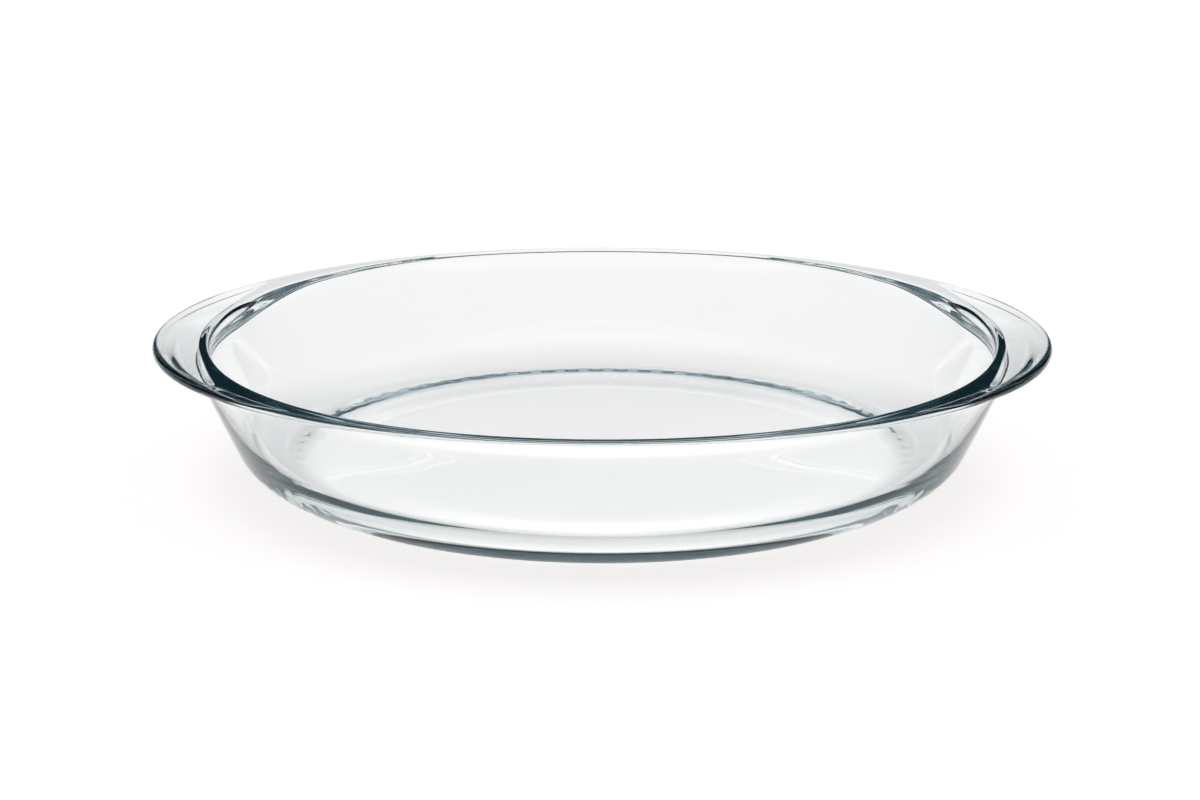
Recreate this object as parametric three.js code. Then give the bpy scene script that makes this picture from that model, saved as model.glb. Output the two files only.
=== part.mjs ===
// Oval baking dish pressed from one gob of clear glass.
// Millimetres, +Z up, +X along the length, origin at the middle of the resting plane.
import * as THREE from 'three';

// Overall sizes
const LENGTH = 349;
const WIDTH = 243.8;
const HEIGHT = 53.4;

// Glass thicknesses
const END_WALL = 5;
const SIDE_WALL = 4.2;
const FLOOR = 4.5;

// Rim: how far it stands out past the mouth, the thickness of its edge, the round of
// the lip, the fillet below it, and how far the mouth fills out between ends and sides
const END_REACH = 22.5;
const SIDE_REACH = 2.9;
const END_EDGE = 4;
const SIDE_EDGE = 2.1;
const LIP_RADIUS = 1.8;
const UNDER_FILLET = 3.3;
const MOUTH_SWELL = 2.2;

// Handles: depth of the hollow ledge below the lip, breadth of the lip's top, of its outer
// side and of the edge bead's inner side, and rise of the ledge towards the edge
const LEDGE_DEPTH = 6;
const LIP_TOP = 2.4;
const LIP_SLOPE = 1.2;
const BEAD_SLOPE = 5.5;
const LEDGE_RISE = 3;

// Angles round the oval: the lip spreads over the ledge from the first and meets the edge
// at the second, the handle's underside rises between the next two, and the edge has
// thinned to that of the sides at the last
const LEDGE_FADE = 13;
const LEDGE_END = 33;
const HANDLE_FADE = 17;
const HANDLE_END = 41;
const EDGE_END = 75;

// Walls: lean away from the vertical, depth of the rim zone above them, and how far the
// mouth stands out past the wall's inside there
const END_LEAN = 22.5;
const SIDE_LEAN = 12.6;
const RIM_DEPTH = 9;
const END_FLARE = -0.2;
const SIDE_FLARE = 3.7;

// Heels: breadth at ends and sides and height of the rounds to the foot and the floor
const END_HEEL = 15.4;
const SIDE_HEEL = 7;
const HEEL_HEIGHT = 11.5;
const END_INNER_HEEL = 24;
const SIDE_INNER_HEEL = 12;
const INNER_HEEL_HEIGHT = 15;

// Foot: the flat ring that the dish rests on, round a slightly raised panel
const FOOT_RING = 10;
const PANEL_RISE = 0.4;
const PANEL_STEP = 20;

// Facets
const AROUND = 96;
const ARC_STEPS = 4;
const FLARE_STEPS = 3;
const UNDER_STEPS = 5;
const SLOPE_SHARES = [0, 1 / 3, 2 / 3, 1];
const LEDGE_SHARES = [0.2, 0.4, 0.6, 0.8];

const RIGHT_ANGLE = Math.PI / 2;
const radians = THREE.MathUtils.degToRad;
const clamp = THREE.MathUtils.clamp;
const mix = THREE.MathUtils.lerp;
const smooth = THREE.MathUtils.smoothstep;

const endSlope = Math.tan(radians(END_LEAN));
const sideSlope = Math.tan(radians(SIDE_LEAN));
const floorTop = PANEL_RISE + FLOOR;
const shoulder = HEIGHT - RIM_DEPTH;

// Half-length a and half-width b of the main ovals, from the mouth down to the foot
const mouth = { a: LENGTH / 2 - END_REACH, b: WIDTH / 2 - SIDE_REACH };
const innerShoulder = { a: mouth.a - END_FLARE, b: mouth.b - SIDE_FLARE };
const outerShoulder = {
  a: innerShoulder.a + END_WALL / Math.cos(radians(END_LEAN)),
  b: innerShoulder.b + SIDE_WALL / Math.cos(radians(SIDE_LEAN)),
};
const floorEdge = {
  a: innerShoulder.a - (shoulder - floorTop) * endSlope - END_INNER_HEEL,
  b: innerShoulder.b - (shoulder - floorTop) * sideSlope - SIDE_INNER_HEEL,
};
const foot = {
  a: outerShoulder.a - shoulder * endSlope - END_HEEL,
  b: outerShoulder.b - shoulder * sideSlope - SIDE_HEEL,
};

// Share of a quarter round passed at a height above its flat start
function quarter(height, size) {
  const left = clamp(1 - height / size, 0, 1);
  return Math.sqrt(1 - left * left);
}

// Share of the swell at a height: none at the foot, all of it at the shoulder
function swellAt(z) {
  return smooth(z, HEEL_HEIGHT, shoulder);
}

// Oval of the outside face at a height
function outside(z) {
  const turn = quarter(z, HEEL_HEIGHT);
  return {
    a: foot.a + END_HEEL * turn + z * endSlope,
    b: foot.b + SIDE_HEEL * turn + z * sideSlope,
    z,
    swell: swellAt(z),
  };
}

// Oval of the inside face at a height
function inside(z) {
  const rise = z - floorTop;
  const turn = quarter(rise, INNER_HEEL_HEIGHT);
  return {
    a: floorEdge.a + END_INNER_HEEL * turn + rise * endSlope,
    b: floorEdge.b + SIDE_INNER_HEEL * turn + rise * sideSlope,
    z,
    swell: swellAt(z),
  };
}

// Oval part of the way between two others
function between(first, second, share) {
  return {
    a: mix(first.a, second.a, share),
    b: mix(first.b, second.b, share),
    z: mix(first.z, second.z, share),
    swell: mix(first.swell, second.swell, share),
  };
}

// Share of the way that the lip has spread over the ledge at an angle round the oval
function lipSpread(turn) {
  const run = clamp((turn - LEDGE_FADE) / (LEDGE_END - LEDGE_FADE), 0, 1);
  return run * run;
}

// Depth of the ledge at a distance out from the lip's crest: steep at the lip, a floor
// that rises towards the edge, and the inner side of the edge bead
function ledgeDepth(distance, lipTop, width) {
  const start = LIP_TOP + LIP_SLOPE;
  const lipSide = smooth(distance, lipTop, lipTop + LIP_SLOPE);
  const beadSide = 1 - smooth(distance, width - BEAD_SLOPE, width);
  const run = clamp((distance - start) / (width - start - BEAD_SLOPE), 0, 1);
  return lipSide * beadSide * (LEDGE_DEPTH - LEDGE_RISE * run);
}

// Inside floor edge, heel and wall up to the shoulder
function innerWall() {
  const rings = [];
  for (let i = 0; i <= ARC_STEPS; i += 1) {
    const turn = RIGHT_ANGLE * (i / ARC_STEPS);
    rings.push(inside(floorTop + INNER_HEEL_HEIGHT * (1 - Math.cos(turn))));
  }
  rings.push(inside((floorTop + INNER_HEEL_HEIGHT + shoulder) / 2));
  rings.push(inside(shoulder));
  return rings;
}

// Bend of the wall into the lip, and the lip's inner round up to its crest
function lipRound(lip) {
  const rings = [];
  const start = HEIGHT - lip;
  const straight = inside(start);
  for (let i = 1; i < FLARE_STEPS; i += 1) {
    const up = i / FLARE_STEPS;
    const wall = inside(mix(shoulder, start, up));
    wall.a += (mouth.a - straight.a) * up * up;
    wall.b += (mouth.b - straight.b) * up * up;
    rings.push(wall);
  }
  for (let i = 0; i <= ARC_STEPS; i += 1) {
    const turn = RIGHT_ANGLE * (i / ARC_STEPS);
    const back = lip * (1 - Math.cos(turn));
    const z = start + lip * Math.sin(turn);
    rings.push({ a: mouth.a + back, b: mouth.b + back, z, swell: 1 });
  }
  return rings;
}

// Across the top to the edge bead, sinking into the ledge at the handles, and round it
function topAndEdge(spread, lip, edge) {
  const rings = [];
  const crest = { a: mouth.a + lip, b: mouth.b + lip, z: HEIGHT, swell: 1 };
  const bead = { a: LENGTH / 2 - edge, b: WIDTH / 2 - edge, z: HEIGHT, swell: 0 };
  const width = bead.a - crest.a;
  const lipTop = mix(LIP_TOP, width - BEAD_SLOPE - LIP_SLOPE, spread);
  const lipFoot = lipTop + LIP_SLOPE;
  const distances = [
    lipTop / 2,
    ...SLOPE_SHARES.map((share) => mix(lipTop, lipFoot, share)),
    ...LEDGE_SHARES.map((share) => mix(lipFoot, width, share)),
  ];
  for (const distance of distances) {
    const ring = between(crest, bead, distance / width);
    ring.z -= (1 - spread * spread) * ledgeDepth(distance, lipTop, width);
    rings.push(ring);
  }
  for (let i = 0; i <= 2 * ARC_STEPS; i += 1) {
    const turn = RIGHT_ANGLE * (1 - i / ARC_STEPS);
    const out = edge * Math.cos(turn);
    const z = HEIGHT - edge + edge * Math.sin(turn);
    rings.push({ a: bead.a + out, b: bead.b + out, z, swell: 0 });
  }
  return rings;
}

// Underside from the edge back to the fillet at the wall
function underside(handle, edge) {
  const rings = [];
  const depth = LEDGE_DEPTH * handle;
  const level = HEIGHT - 2 * edge;
  const bead = { a: LENGTH / 2 - edge, b: WIDTH / 2 - edge, z: level, swell: 0 };
  const root = outside(level - depth - UNDER_FILLET);
  const leave = {
    a: Math.min(root.a + UNDER_FILLET, bead.a),
    b: Math.min(root.b + UNDER_FILLET, bead.b),
    z: level,
    swell: root.swell,
  };
  for (let i = 1; i <= UNDER_STEPS; i += 1) {
    const across = i / UNDER_STEPS;
    const ring = between(bead, leave, across);
    ring.z -= depth * Math.sin(RIGHT_ANGLE * across);
    rings.push(ring);
  }
  for (let i = 1; i <= ARC_STEPS; i += 1) {
    const turn = RIGHT_ANGLE * (i / ARC_STEPS);
    const ring = between(leave, root, Math.sin(turn));
    ring.z = level - depth - UNDER_FILLET * (1 - Math.cos(turn));
    rings.push(ring);
  }
  return rings;
}

// Outside wall and heel, foot ring and the step up to the bottom panel
function outerWall(top) {
  const rings = [outside((top + HEEL_HEIGHT) / 2)];
  for (let i = ARC_STEPS; i >= 0; i -= 1) {
    const turn = RIGHT_ANGLE * (i / ARC_STEPS);
    rings.push(outside(HEEL_HEIGHT * (1 - Math.cos(turn))));
  }
  const panelEdge = FOOT_RING + PANEL_STEP;
  rings.push({ a: foot.a - FOOT_RING, b: foot.b - FOOT_RING, z: 0, swell: 0 });
  rings.push({ a: foot.a - panelEdge, b: foot.b - panelEdge, z: PANEL_RISE, swell: 0 });
  return rings;
}

// Ovals of one cross-section, from the inside floor over the rim to the bottom panel, at
// an angle round the oval that is 0 in the middle of a handle and 90 along the sides
function section(turn) {
  const handle = 1 - smooth(turn, HANDLE_FADE, HANDLE_END);
  const edge = mix(END_EDGE, SIDE_EDGE, smooth(turn, LEDGE_FADE, EDGE_END)) / 2;
  const lip = mix(SIDE_EDGE / 2, LIP_RADIUS, handle);
  const rim = [...innerWall(), ...lipRound(lip), ...topAndEdge(lipSpread(turn), lip, edge)];
  const below = underside(handle, edge);
  return [...rim, ...below, ...outerWall(below[below.length - 1].z)];
}

// Closed skin through all the cross-sections, with a middle point inside and one below
function dishGeometry() {
  const points = [];
  const faces = [];
  let count = 0;
  for (let s = 0; s < AROUND; s += 1) {
    const angle = (2 * Math.PI * s) / AROUND;
    const swell = MOUTH_SWELL * Math.sin(2 * angle) ** 2;
    const turn = THREE.MathUtils.radToDeg(Math.acos(Math.min(Math.abs(Math.cos(angle)), 1)));
    const rings = section(turn);
    count = rings.length;
    for (const ring of rings) {
      const x = (ring.a + swell * ring.swell) * Math.cos(angle);
      const y = (ring.b + swell * ring.swell) * Math.sin(angle);
      points.push(x, y, ring.z);
    }
  }
  const top = AROUND * count;
  const bottom = top + 1;
  points.push(0, 0, floorTop);
  points.push(0, 0, PANEL_RISE);
  for (let s = 0; s < AROUND; s += 1) {
    const here = s * count;
    const next = ((s + 1) % AROUND) * count;
    faces.push(top, here, next);
    for (let r = 0; r < count - 1; r += 1) {
      faces.push(here + r, here + r + 1, next + r);
      faces.push(next + r, here + r + 1, next + r + 1);
    }
    faces.push(bottom, next + count - 1, here + count - 1);
  }
  const geometry = new THREE.BufferGeometry();
  geometry.setAttribute('position', new THREE.Float32BufferAttribute(points, 3));
  geometry.setIndex(faces);
  geometry.computeVertexNormals();
  return geometry;
}

const glass = new THREE.MeshStandardMaterial({ color: 0xcfe3e2, roughness: 0.05, metalness: 0 });
glass.name = 'clear_glass';

const dish = new THREE.Mesh(dishGeometry(), glass);
dish.name = 'glass_dish';

const group = new THREE.Group();
group.name = 'oval_baking_dish';
group.add(dish);

export default group;
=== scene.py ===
# Looks of an oval baking dish of clear pressed glass, on a plain white table.
# Metres, +Z up, +X along the length, origin at the middle of the resting plane.
import math
from collections import namedtuple

import bmesh
import bpy
from mathutils import Matrix, Vector


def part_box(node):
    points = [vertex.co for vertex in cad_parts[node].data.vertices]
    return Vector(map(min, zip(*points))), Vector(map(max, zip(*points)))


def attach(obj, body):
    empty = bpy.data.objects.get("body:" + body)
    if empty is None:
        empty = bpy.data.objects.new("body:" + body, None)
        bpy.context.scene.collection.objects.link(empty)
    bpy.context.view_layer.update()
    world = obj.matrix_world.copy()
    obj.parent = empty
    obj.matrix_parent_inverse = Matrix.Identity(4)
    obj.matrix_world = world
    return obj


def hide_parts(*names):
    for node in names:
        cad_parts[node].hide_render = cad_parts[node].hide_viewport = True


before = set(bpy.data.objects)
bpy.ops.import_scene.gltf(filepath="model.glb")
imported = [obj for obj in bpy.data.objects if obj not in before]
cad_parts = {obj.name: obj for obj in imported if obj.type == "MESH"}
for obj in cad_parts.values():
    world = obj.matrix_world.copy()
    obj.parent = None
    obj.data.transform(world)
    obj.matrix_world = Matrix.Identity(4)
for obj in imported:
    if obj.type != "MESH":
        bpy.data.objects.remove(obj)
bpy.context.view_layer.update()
MM = 0.001

# Overall sizes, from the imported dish
dish_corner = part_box("glass_dish")[1]
HALF_LENGTH = dish_corner.x
HALF_WIDTH = dish_corner.y
HEIGHT = dish_corner.z

# Glass thicknesses
END_WALL = 5 * MM
SIDE_WALL = 4.2 * MM
FLOOR = 4.5 * MM

# Rim: reach past the mouth, thickness of its edge, round of the lip, fillet below it,
# and how far the mouth fills out between ends and sides
END_REACH = 22.5 * MM
SIDE_REACH = 2.9 * MM
END_EDGE = 4 * MM
SIDE_EDGE = 2.1 * MM
LIP_RADIUS = 1.8 * MM
UNDER_FILLET = 3.3 * MM
MOUTH_SWELL = 2.2 * MM

# Handles: depth of the hollow ledge, breadth of the lip's top, of its outer side and of
# the edge bead's inner side, and rise of the ledge outwards
LEDGE_DEPTH = 6 * MM
LIP_TOP = 2.4 * MM
LIP_SLOPE = 1.2 * MM
BEAD_SLOPE = 5.5 * MM
LEDGE_RISE = 3 * MM

# Angles round the oval: the lip spreads over the ledge from the first and meets the edge
# at the second, the handle's underside rises between the next two, and the edge has
# thinned to that of the sides at the last
LEDGE_FADE = math.radians(13)
LEDGE_END = math.radians(33)
HANDLE_FADE = math.radians(17)
HANDLE_END = math.radians(41)
EDGE_END = math.radians(75)

# Walls: lean from the vertical, depth of the rim zone, and flare of the mouth above it
END_SLOPE = math.tan(math.radians(22.5))
SIDE_SLOPE = math.tan(math.radians(12.6))
RIM_DEPTH = 9 * MM
END_FLARE = -0.2 * MM
SIDE_FLARE = 3.7 * MM

# Heels: breadth at ends and sides and height of the rounds to the foot and the floor
END_HEEL = 15.4 * MM
SIDE_HEEL = 7 * MM
HEEL_HEIGHT = 11.5 * MM
END_INNER_HEEL = 24 * MM
SIDE_INNER_HEEL = 12 * MM
INNER_HEEL_HEIGHT = 15 * MM

# Foot: ring with its knurls, and the slightly raised bottom panel inside it
FOOT_RING = 10 * MM
PANEL_RISE = 0.4 * MM
PANEL_STEP = 20 * MM
KNURLS = 72
KNURL_BAND = 2 * MM
KNURL_HEIGHT = 0.05 * MM
KNURL_INSET = 0.5 * MM

# Levels of the inside floor and of the rim zone's start
FLOOR_TOP = PANEL_RISE + FLOOR
SHOULDER = HEIGHT - RIM_DEPTH

# Mesh: faces to a knurl and the gap beside it, faces round the oval, steps in the rounds,
# shares of the way across the flatter stretches, size of the hub where the rings end, and
# digits to which angles round the oval are told apart
KNURL_FACES = 4
AROUND = KNURL_FACES * KNURLS
ARC_STEPS = 6
LIP_STEPS = 3
EDGE_STEPS = 6
FLARE_STEPS = 4
FILLET_STEPS = 3
FLOOR_SHARES = (0, 0.5, 0.94)
LIP_SHARES = (0.4, 0.8)
SLOPE_SHARES = (0, 0.2, 0.4, 0.6, 0.8, 1)
LEDGE_SHARES = (0.06, 0.2, 0.38, 0.56, 0.72, 0.84, 0.93)
UNDER_SHARES = (0.25, 0.5, 0.75, 1.0)
STEP_SHARES = (0.2, 0.4, 0.6, 0.8)
PANEL_SHARES = (0, 0.5, 1)
HUB_SHARE = 0.05
ANGLE_DIGITS = 5

# Glass: refraction, the mould's ripple, and colour and strength of the tint in its depth
GLASS_IOR = 1.49
RIPPLE_SCALE = 22
RIPPLE_DETAIL = 2
RIPPLE_STRENGTH = 0.12
RIPPLE_HEIGHT = 0.4 * MM
TINT_COLOUR = (0.06, 0.30, 0.35, 1)
TINT_DENSITY = 10.0

# Photograph's view: camera distance from its target, height of the target, angle looking
# down and slight roll, then picture width, focal length and sideways offset in pixels, the
# sensor's width in Blender's units, and the nearest and farthest that the camera sees
VIEW_DISTANCE = 0.9
VIEW_HEIGHT = 25.1 * MM
VIEW_DOWN = math.radians(19.518)
VIEW_ROLL = 0.0017
PICTURE_WIDTH = 1200
FOCAL_PIXELS = 2279.87
OFFSET_PIXELS = 2.18
SENSOR_WIDTH = 36.0
NEAREST = 0.01
FARTHEST = 100

# Light paths: many bounces in the glass, since light runs a long way along the rim
GLASS_BOUNCES = 128
GLOSS_BOUNCES = 32
TABLE_BOUNCES = 4

# Table: far from the dish it glows evenly, as if lit from below, warm enough to look white in
# the cool room.
# Nearer the dish its glow holds painted light and shade: a painted pool of light under the dish
# and a painted shadow just outside its foot.
# The glow changes with the distance from the middle, in shares of the foot's oval: the reach of
# the change, and stops with a distance and a strength each.
TABLE_GAP = 0.2 * MM
TABLE_SIZE = 60.0
TABLE_WHITE = 0.5
TABLE_COLOUR = (1, 0.96, 0.94, 1)
PAINTED_LIGHT_REACH = 2.0
# Stops: painted light under the dish, painted shadow just outside the foot, even glow further
# out
GLOW_AND_PAINTED_LIGHT_STOPS = ((0.9, 1.1), (1.04, 0.77), (1.4, 0.86))

# Studio light: each soft box spans degrees round from straight behind the dish, on both
# sides, and degrees above the table, with a soft border in degrees and a strength. The
# room round them is dim and cool.
SoftBox = namedtuple("SoftBox", "round_from round_to up_from up_to border strength")
SOFT_BOXES = (
    SoftBox(-9, 8.8, 28, 46, 8, 0.9),
    SoftBox(70, 190, -9, 7, 10, 0.4),
    SoftBox(140, 190, 18, 33, 10, 0.3),
    SoftBox(25, 110, 44, 72, 30, 1.0),
    SoftBox(-9, 190, 70, 99, 14, 0.6),
)
ROOM_COLOUR = (0.03, 0.08, 0.11, 1)

# One oval of the dish: half-length, half-width, height and share of the mouth's swell
Oval = namedtuple("Oval", "a b z swell")


def mix(first, second, share):
    return first + (second - first) * share


def part_way(value, start, end):
    """Share of the way from start to end that a value has come, from 0 to 1."""
    return min(max((value - start) / (end - start), 0.0), 1.0)


def smooth(value, start, end):
    share = part_way(value, start, end)
    return share * share * (3 - 2 * share)


def between(first, second, share):
    """Oval part of the way between two others."""
    return Oval(*(mix(one, two, share) for one, two in zip(first, second)))


def lifted(oval, rise):
    return oval._replace(z=oval.z + rise)


# Main ovals, from the mouth down to the foot
mouth = Oval(HALF_LENGTH - END_REACH, HALF_WIDTH - SIDE_REACH, HEIGHT, 1)
inner_shoulder = Oval(mouth.a - END_FLARE, mouth.b - SIDE_FLARE, SHOULDER, 1)
outer_shoulder = Oval(
    inner_shoulder.a + END_WALL * math.hypot(1, END_SLOPE),
    inner_shoulder.b + SIDE_WALL * math.hypot(1, SIDE_SLOPE),
    SHOULDER,
    1,
)
floor_edge = Oval(
    inner_shoulder.a - (SHOULDER - FLOOR_TOP) * END_SLOPE - END_INNER_HEEL,
    inner_shoulder.b - (SHOULDER - FLOOR_TOP) * SIDE_SLOPE - SIDE_INNER_HEEL,
    FLOOR_TOP,
    0,
)
foot = Oval(
    outer_shoulder.a - SHOULDER * END_SLOPE - END_HEEL,
    outer_shoulder.b - SHOULDER * SIDE_SLOPE - SIDE_HEEL,
    0,
    0,
)


def quarter(height, size):
    """Share of a quarter round passed at a height above its flat start."""
    left = 1 - part_way(height, 0, size)
    return math.sqrt(1 - left * left)


def outside(z):
    """Oval of the outside face at a height."""
    turn = quarter(z, HEEL_HEIGHT)
    return Oval(
        foot.a + END_HEEL * turn + z * END_SLOPE,
        foot.b + SIDE_HEEL * turn + z * SIDE_SLOPE,
        z,
        smooth(z, HEEL_HEIGHT, SHOULDER),
    )


def inside(z):
    """Oval of the inside face at a height."""
    rise = z - FLOOR_TOP
    turn = quarter(rise, INNER_HEEL_HEIGHT)
    return Oval(
        floor_edge.a + END_INNER_HEEL * turn + rise * END_SLOPE,
        floor_edge.b + SIDE_INNER_HEEL * turn + rise * SIDE_SLOPE,
        z,
        smooth(z, HEEL_HEIGHT, SHOULDER),
    )


def hub_of(oval):
    """Small oval in the middle of a flat one, where the rings end."""
    return oval._replace(a=oval.a * HUB_SHARE, b=oval.b * HUB_SHARE)


def lip_spread(turn):
    """Share of the way that the lip has spread over the ledge at an angle round the oval."""
    return part_way(turn, LEDGE_FADE, LEDGE_END) ** 2


def ledge_depth(distance, lip_top, width):
    """Depth of a handle's ledge at a distance out from the lip's crest."""
    lip_side = smooth(distance, lip_top, lip_top + LIP_SLOPE)
    bead_side = 1 - smooth(distance, width - BEAD_SLOPE, width)
    run = part_way(distance, LIP_TOP + LIP_SLOPE, width - BEAD_SLOPE)
    return lip_side * bead_side * (LEDGE_DEPTH - LEDGE_RISE * run)


def turns(steps):
    """Angles of a quarter round, both ends included."""
    return [math.pi / 2 * step / steps for step in range(steps + 1)]


def inner_floor_and_wall():
    hub = hub_of(floor_edge)
    ovals = [between(hub, floor_edge, share) for share in FLOOR_SHARES]
    for turn in turns(ARC_STEPS):
        ovals.append(inside(FLOOR_TOP + INNER_HEEL_HEIGHT * (1 - math.cos(turn))))
    ovals.append(inside((FLOOR_TOP + INNER_HEEL_HEIGHT + SHOULDER) / 2))
    ovals.append(inside(SHOULDER))
    return ovals


def lip_round(lip):
    """Bend of the wall into the lip, and the lip's inner round up to its crest."""
    start = HEIGHT - lip
    straight = inside(start)
    ovals = []
    for step in range(1, FLARE_STEPS):
        up = step / FLARE_STEPS
        wall = inside(mix(SHOULDER, start, up))
        ovals.append(
            wall._replace(
                a=wall.a + (mouth.a - straight.a) * up * up,
                b=wall.b + (mouth.b - straight.b) * up * up,
            )
        )
    for turn in turns(LIP_STEPS):
        back = lip * (1 - math.cos(turn))
        ovals.append(Oval(mouth.a + back, mouth.b + back, start + lip * math.sin(turn), 1))
    return ovals


def top_and_edge(spread, lip, edge):
    """Across the top, sinking into the ledge at the handles, and round the edge bead."""
    crest = Oval(mouth.a + lip, mouth.b + lip, HEIGHT, 1)
    bead = Oval(HALF_LENGTH - edge, HALF_WIDTH - edge, HEIGHT, 0)
    width = bead.a - crest.a
    lip_top = mix(LIP_TOP, width - BEAD_SLOPE - LIP_SLOPE, spread)
    lip_foot = lip_top + LIP_SLOPE
    distances = [lip_top * share for share in LIP_SHARES]
    distances += [mix(lip_top, lip_foot, share) for share in SLOPE_SHARES]
    distances += [mix(lip_foot, width, share) for share in LEDGE_SHARES]
    ovals = []
    for distance in distances:
        depth = (1 - spread * spread) * ledge_depth(distance, lip_top, width)
        ovals.append(lifted(between(crest, bead, distance / width), -depth))
    for step in range(2 * EDGE_STEPS + 1):
        turn = math.pi / 2 * (1 - step / EDGE_STEPS)
        out = edge * math.cos(turn)
        ovals.append(Oval(bead.a + out, bead.b + out, HEIGHT - edge + edge * math.sin(turn), 0))
    return ovals


def underside(handle, edge):
    """Back from the edge to the fillet at the wall."""
    depth = LEDGE_DEPTH * handle
    level = HEIGHT - 2 * edge
    bead = Oval(HALF_LENGTH - edge, HALF_WIDTH - edge, level, 0)
    root = outside(level - depth - UNDER_FILLET)
    leave = Oval(
        min(root.a + UNDER_FILLET, bead.a),
        min(root.b + UNDER_FILLET, bead.b),
        level,
        root.swell,
    )
    ovals = []
    for share in UNDER_SHARES:
        ovals.append(lifted(between(bead, leave, share), -depth * math.sin(math.pi / 2 * share)))
    for turn in turns(FILLET_STEPS)[1:]:
        drop = depth + UNDER_FILLET * (1 - math.cos(turn))
        ovals.append(between(leave, root, math.sin(turn))._replace(z=level - drop))
    return ovals


def outer_wall_and_foot(top):
    """Down the outside and across the bottom, with the ring raised by its knurls' height."""
    ovals = [outside((top + HEEL_HEIGHT) / 2)]
    for turn in reversed(turns(ARC_STEPS)[1:]):
        ovals.append(outside(HEEL_HEIGHT * (1 - math.cos(turn))))
    outer = lifted(outside(0), KNURL_HEIGHT)
    band = Oval(foot.a - KNURL_BAND, foot.b - KNURL_BAND, KNURL_HEIGHT, 0)
    inner = Oval(foot.a - FOOT_RING, foot.b - FOOT_RING, KNURL_HEIGHT, 0)
    ovals += [outer, band, inner]
    panel = Oval(inner.a - PANEL_STEP, inner.b - PANEL_STEP, PANEL_RISE, 0)
    for share in STEP_SHARES:
        level = mix(inner.z, panel.z, smooth(share, 0, 1))
        ovals.append(between(inner, panel, share)._replace(z=level))
    hub = hub_of(panel)
    ovals += [between(panel, hub, share) for share in PANEL_SHARES]
    return ovals


def section(turn):
    """Ovals from the middle of the inside floor over the rim to the middle below, at an
    angle round the oval that is 0 in the middle of a handle."""
    handle = 1 - smooth(turn, HANDLE_FADE, HANDLE_END)
    edge = mix(END_EDGE, SIDE_EDGE, smooth(turn, LEDGE_FADE, EDGE_END)) / 2
    lip = mix(SIDE_EDGE / 2, LIP_RADIUS, handle)
    below = underside(handle, edge)
    return (
        inner_floor_and_wall()
        + lip_round(lip)
        + top_and_edge(lip_spread(turn), lip, edge)
        + below
        + outer_wall_and_foot(below[-1].z)
    )


def draw_up_dish(ovals):
    """Draws the plain oval dish up from a circle in its floor, ring by ring."""
    bpy.ops.object.select_all(action="DESELECT")
    bpy.ops.mesh.primitive_circle_add(vertices=AROUND, radius=1.0, location=(0, 0, 0))
    dish = bpy.context.object
    dish.name = "glass_dish_clear"
    dish.data.name = "glass_dish_clear"
    bpy.ops.object.mode_set(mode="EDIT")
    bpy.ops.mesh.select_all(action="SELECT")
    last = Oval(1, 1, 0, 0)
    for number, oval in enumerate(ovals):
        if number:
            bpy.ops.mesh.extrude_region_move()
        growth = (oval.a / last.a, oval.b / last.b, 1)
        bpy.ops.transform.resize(value=growth, center_override=(0, 0, 0))
        bpy.ops.transform.translate(value=(0, 0, oval.z - last.z))
        last = oval
    bpy.ops.object.mode_set(mode="OBJECT")
    return dish


def press_handles(dish, plain):
    """Moves the drawn rings to the pressed shape: ledges at the ends, swell of the mouth."""
    sections = {}
    points = dish.data.vertices
    for ring, oval in enumerate(plain):
        for place in range(AROUND):
            point = points[ring * AROUND + place]
            angle = math.atan2(point.co.y / oval.b, point.co.x / oval.a)
            turn = round(math.acos(min(abs(math.cos(angle)), 1.0)), ANGLE_DIGITS)
            if turn not in sections:
                sections[turn] = section(turn)
            pressed = sections[turn][ring]
            swell = MOUTH_SWELL * math.sin(2 * angle) ** 2 * pressed.swell
            point.co.x = (pressed.a + swell) * math.cos(angle)
            point.co.y = (pressed.b + swell) * math.sin(angle)
            point.co.z = pressed.z
    dish.data.update()


def knurl_foot(dish):
    """Raises the knurls on the foot ring, each beside a gap as wide as it is."""
    bpy.ops.object.mode_set(mode="EDIT")
    bpy.ops.mesh.select_mode(type="FACE")
    bpy.ops.mesh.select_all(action="DESELECT")
    mesh = bmesh.from_edit_mesh(dish.data)
    half_length = foot.a - KNURL_BAND / 2
    half_width = foot.b - KNURL_BAND / 2
    for face in mesh.faces:
        centre = face.calc_center_median()
        along = centre.x / half_length
        across = centre.y / half_width
        on_band = abs(math.hypot(along, across) - 1) * foot.b < KNURL_BAND / 4
        if on_band and centre.z < 2 * KNURL_HEIGHT:
            place = int(math.atan2(across, along) / (2 * math.pi) * AROUND + AROUND)
            face.select_set(place % KNURL_FACES < KNURL_FACES / 2)
    bmesh.update_edit_mesh(dish.data)
    bpy.ops.mesh.inset(thickness=KNURL_INSET, depth=0)
    bpy.ops.transform.translate(value=(0, 0, -KNURL_HEIGHT))
    bpy.ops.object.mode_set(mode="OBJECT")


def round_off(dish):
    bpy.context.view_layer.objects.active = dish
    smoothing = dish.modifiers.new("round", "SUBSURF")
    smoothing.levels = 1
    smoothing.render_levels = 1
    bpy.ops.object.modifier_apply(modifier=smoothing.name)


def close_floor():
    """Closes the hub rings in the middle of the floor, above and below."""
    bpy.ops.object.mode_set(mode="EDIT")
    bpy.ops.mesh.select_mode(type="EDGE")
    bpy.ops.mesh.select_all(action="DESELECT")
    bpy.ops.mesh.select_non_manifold()
    bpy.ops.mesh.edge_face_add()
    bpy.ops.object.mode_set(mode="OBJECT")


def face_outwards():
    bpy.ops.object.mode_set(mode="EDIT")
    bpy.ops.mesh.select_all(action="SELECT")
    bpy.ops.mesh.normals_make_consistent(inside=False)
    bpy.ops.object.mode_set(mode="OBJECT")
    bpy.ops.object.shade_smooth()


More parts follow.
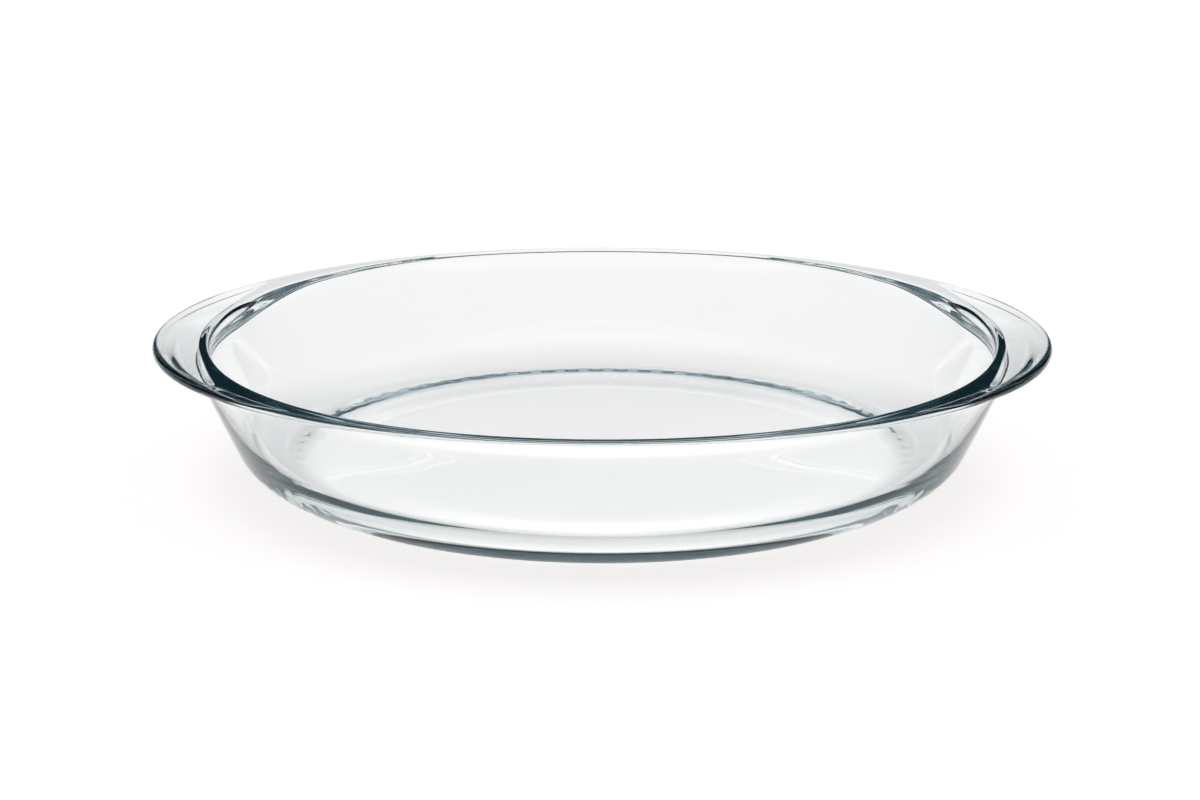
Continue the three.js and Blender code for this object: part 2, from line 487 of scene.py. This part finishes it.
def pressed_glass():
    """Clear glass with a faint sea-green depth and the mould's ripple."""
    material = bpy.data.materials.new("pressed_glass")
    material.use_nodes = True
    nodes = material.node_tree.nodes
    links = material.node_tree.links
    shader = nodes["Principled BSDF"]
    shader.inputs["Base Color"].default_value = (1, 1, 1, 1)
    shader.inputs["Transmission Weight"].default_value = 1.0
    shader.inputs["Roughness"].default_value = 0.0
    shader.inputs["IOR"].default_value = GLASS_IOR

    place = nodes.new("ShaderNodeTexCoord")
    ripple = nodes.new("ShaderNodeTexNoise")
    ripple.inputs["Scale"].default_value = RIPPLE_SCALE
    ripple.inputs["Detail"].default_value = RIPPLE_DETAIL
    bump = nodes.new("ShaderNodeBump")
    bump.inputs["Strength"].default_value = RIPPLE_STRENGTH
    bump.inputs["Distance"].default_value = RIPPLE_HEIGHT
    links.new(place.outputs["Object"], ripple.inputs["Vector"])
    links.new(ripple.outputs["Fac"], bump.inputs["Height"])
    links.new(bump.outputs["Normal"], shader.inputs["Normal"])

    tint = nodes.new("ShaderNodeVolumeAbsorption")
    tint.inputs["Color"].default_value = TINT_COLOUR
    tint.inputs["Density"].default_value = TINT_DENSITY
    links.new(tint.outputs["Volume"], nodes["Material Output"].inputs["Volume"])
    return material


def table_with_painted_light():
    """White sheet glowing as if lit from below, with a painted pool of light under the dish and
    a painted shadow, its dimmest, just outside its foot.
    """
    material = bpy.data.materials.new("white_table")
    material.use_nodes = True
    nodes = material.node_tree.nodes
    links = material.node_tree.links
    shader = nodes["Principled BSDF"]
    shader.inputs["Base Color"].default_value = (TABLE_WHITE, TABLE_WHITE, TABLE_WHITE, 1)
    shader.inputs["Roughness"].default_value = 1.0
    shader.inputs["Specular IOR Level"].default_value = 0.0
    shader.inputs["Emission Color"].default_value = TABLE_COLOUR

    place = nodes.new("ShaderNodeTexCoord")
    oval = nodes.new("ShaderNodeVectorMath")
    oval.operation = "MULTIPLY"
    oval.inputs[1].default_value = (1 / (foot.a * PAINTED_LIGHT_REACH), 1 / (foot.b * PAINTED_LIGHT_REACH), 0)
    away = nodes.new("ShaderNodeVectorMath")
    away.operation = "LENGTH"
    # Glow by distance from the middle: painted light under the dish, painted shadow just outside
    # the foot, even glow further out
    glow = nodes.new("ShaderNodeValToRGB")
    glow.color_ramp.interpolation = "EASE"
    stops = glow.color_ramp.elements
    # A ramp starts with a stop at each end, so the third goes between them
    stops.new(1 / PAINTED_LIGHT_REACH)
    for stop, (share, strength) in zip(stops, GLOW_AND_PAINTED_LIGHT_STOPS):
        stop.position = share / PAINTED_LIGHT_REACH
        stop.color = (strength, strength, strength, 1)
    links.new(place.outputs["Object"], oval.inputs[0])
    links.new(oval.outputs["Vector"], away.inputs[0])
    links.new(away.outputs["Value"], glow.inputs["Fac"])
    links.new(glow.outputs["Color"], shader.inputs["Emission Strength"])
    return material


def white_table():
    bpy.ops.object.select_all(action="DESELECT")
    bpy.ops.mesh.primitive_plane_add(size=TABLE_SIZE, location=(0, 0, -TABLE_GAP))
    table = bpy.context.object
    table.name = "studio_floor"
    # The table's glow paints light under the dish and a shadow just outside its foot
    table.data.materials.append(table_with_painted_light())


def studio_light():
    """Soft boxes in a dim room: behind the dish, low and high round the camera, high at
    the sides and overhead."""
    world = bpy.data.worlds.new("studio")
    bpy.context.scene.world = world
    world.use_nodes = True
    nodes = world.node_tree.nodes
    links = world.node_tree.links

    def math_node(operation, first, second=None):
        node = nodes.new("ShaderNodeMath")
        node.operation = operation
        for socket, value in zip(node.inputs, (first, second)):
            if isinstance(value, bpy.types.NodeSocket):
                links.new(value, socket)
            elif value is not None:
                socket.default_value = value
        return node.outputs["Value"]

    def fade(value, start, end):
        node = nodes.new("ShaderNodeMapRange")
        node.interpolation_type = "SMOOTHSTEP"
        links.new(value, node.inputs["Value"])
        node.inputs["From Min"].default_value = start
        node.inputs["From Max"].default_value = end
        return node.outputs["Result"]

    def window(value, low, high, border):
        opening = fade(value, low - border / 2, low + border / 2)
        closing = fade(value, high + border / 2, high - border / 2)
        return math_node("MULTIPLY", opening, closing)

    place = nodes.new("ShaderNodeTexCoord")
    split = nodes.new("ShaderNodeSeparateXYZ")
    links.new(place.outputs["Generated"], split.inputs["Vector"])
    turn = math_node("ARCTAN2", split.outputs["X"], split.outputs["Y"])
    turn = math_node("DEGREES", math_node("ABSOLUTE", turn))
    rise = math_node("DEGREES", math_node("ARCSINE", split.outputs["Z"]))
    light = None
    for box in SOFT_BOXES:
        across = window(turn, box.round_from, box.round_to, box.border)
        upright = window(rise, box.up_from, box.up_to, box.border)
        glow = math_node("MULTIPLY", math_node("MULTIPLY", across, upright), box.strength)
        light = glow if light is None else math_node("ADD", glow, light)
    boxes = nodes["Background"]
    boxes.inputs["Color"].default_value = (1, 1, 1, 1)
    links.new(light, boxes.inputs["Strength"])
    room = nodes.new("ShaderNodeBackground")
    room.inputs["Color"].default_value = ROOM_COLOUR
    both = nodes.new("ShaderNodeAddShader")
    links.new(boxes.outputs["Background"], both.inputs[0])
    links.new(room.outputs["Background"], both.inputs[1])
    links.new(both.outputs["Shader"], nodes["World Output"].inputs["Surface"])


def photograph_view():
    camera = bpy.data.objects.new("camera", bpy.data.cameras.new("camera"))
    bpy.context.scene.collection.objects.link(camera)
    camera.data.sensor_width = SENSOR_WIDTH
    camera.data.lens = FOCAL_PIXELS / PICTURE_WIDTH * SENSOR_WIDTH
    camera.data.shift_x = -OFFSET_PIXELS / PICTURE_WIDTH
    camera.data.clip_start = NEAREST
    camera.data.clip_end = FARTHEST
    target = Vector((0, 0, VIEW_HEIGHT))
    back = Vector((0, -math.cos(VIEW_DOWN), math.sin(VIEW_DOWN)))
    turn = Matrix.Rotation(math.pi / 2 - VIEW_DOWN, 4, "X") @ Matrix.Rotation(VIEW_ROLL, 4, "Z")
    camera.matrix_world = Matrix.Translation(target + VIEW_DISTANCE * back) @ turn
    bpy.context.scene.camera = camera


def picture_settings():
    scene = bpy.context.scene
    scene.view_settings.view_transform = "Standard"
    scene.cycles.max_bounces = GLASS_BOUNCES
    scene.cycles.transmission_bounces = GLASS_BOUNCES
    scene.cycles.glossy_bounces = GLOSS_BOUNCES
    scene.cycles.diffuse_bounces = TABLE_BOUNCES
    scene.cycles.caustics_refractive = True
    scene.cycles.caustics_reflective = True
    scene.cycles.use_denoising = True


plain_section = section(math.pi / 2)
dish = draw_up_dish(plain_section)
press_handles(dish, plain_section)
knurl_foot(dish)
round_off(dish)
close_floor()
face_outwards()
dish.data.materials.append(pressed_glass())
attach(dish, "root")
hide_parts("glass_dish")

white_table()
studio_light()
photograph_view()
picture_settings()
